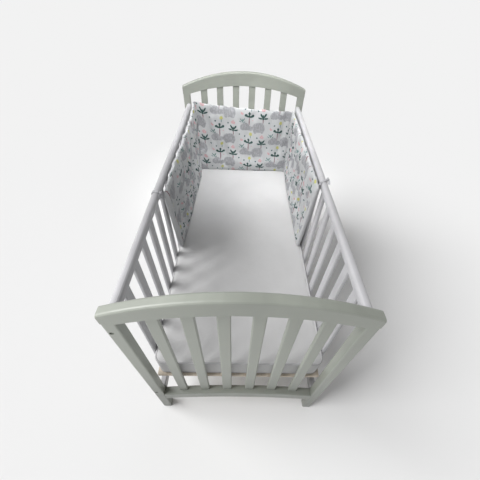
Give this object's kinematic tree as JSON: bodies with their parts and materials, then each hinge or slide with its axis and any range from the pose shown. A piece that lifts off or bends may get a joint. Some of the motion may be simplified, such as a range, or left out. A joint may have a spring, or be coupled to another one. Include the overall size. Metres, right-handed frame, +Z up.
{
  "type": "crib bumper tied to a cot, standing on its mattress",
  "caption": "Soft padded bumper band tied to the side rails round the head half of a plain slatted cot, standing on the mattress.",
  "frame": {"origin": "on the floor, under the middle of the cot", "axes": "+Z up, +Y along the cot towards the head end, +X across the cot, to the right seen from the foot end"},
  "size_m": [0.67, 1.312, 1.023],
  "materials": {
    "printed_cotton": "printed woven cotton over wadding",
    "tie_tape": "narrow cotton tape",
    "mattress_ticking": "plain woven ticking",
    "sage_paint": "satin grey-green paint",
    "white_paint": "satin white paint",
    "plain_board": "bare board"
  },
  "bodies": {
    "root": {"bumper_pad": "printed_cotton", "tie_left": "tie_tape", "tie_right": "tie_tape", "mattress": "mattress_ticking", "mattress_board": "plain_board", "foot_top_rail": "sage_paint", "foot_low_rail": "sage_paint", "foot_post_left": "sage_paint", "foot_post_right": "sage_paint", "foot_slat_1": "sage_paint", "foot_slat_2": "sage_paint", "foot_slat_3": "sage_paint", "foot_slat_4": "sage_paint", "foot_slat_5": "sage_paint", "foot_slat_6": "sage_paint", "head_top_rail": "sage_paint", "head_low_rail": "sage_paint", "head_post_left": "sage_paint", "head_post_right": "sage_paint", "head_slat_1": "sage_paint", "head_slat_2": "sage_paint", "head_slat_3": "sage_paint", "head_slat_4": "sage_paint", "head_slat_5": "sage_paint", "head_slat_6": "sage_paint", "side_left_top_rail": "white_paint", "side_left_low_rail": "white_paint", "side_left_slat_01": "white_paint", "side_left_slat_02": "white_paint", "side_left_slat_03": "white_paint", "side_left_slat_04": "white_paint", "side_left_slat_05": "white_paint", "side_left_slat_06": "white_paint", "side_left_slat_07": "white_paint", "side_left_slat_08": "white_paint", "side_left_slat_09": "white_paint", "side_left_slat_10": "white_paint", "side_left_slat_11": "white_paint", "side_left_slat_12": "white_paint", "side_left_slat_13": "white_paint", "side_left_slat_14": "white_paint", "side_right_top_rail": "white_paint", "side_right_low_rail": "white_paint", "side_right_slat_01": "white_paint", "side_right_slat_02": "white_paint", "side_right_slat_03": "white_paint", "side_right_slat_04": "white_paint", "side_right_slat_05": "white_paint", "side_right_slat_06": "white_paint", "side_right_slat_07": "white_paint", "side_right_slat_08": "white_paint", "side_right_slat_09": "white_paint", "side_right_slat_10": "white_paint", "side_right_slat_11": "white_paint", "side_right_slat_12": "white_paint", "side_right_slat_13": "white_paint", "side_right_slat_14": "white_paint"}
  },
  "joints": []
}
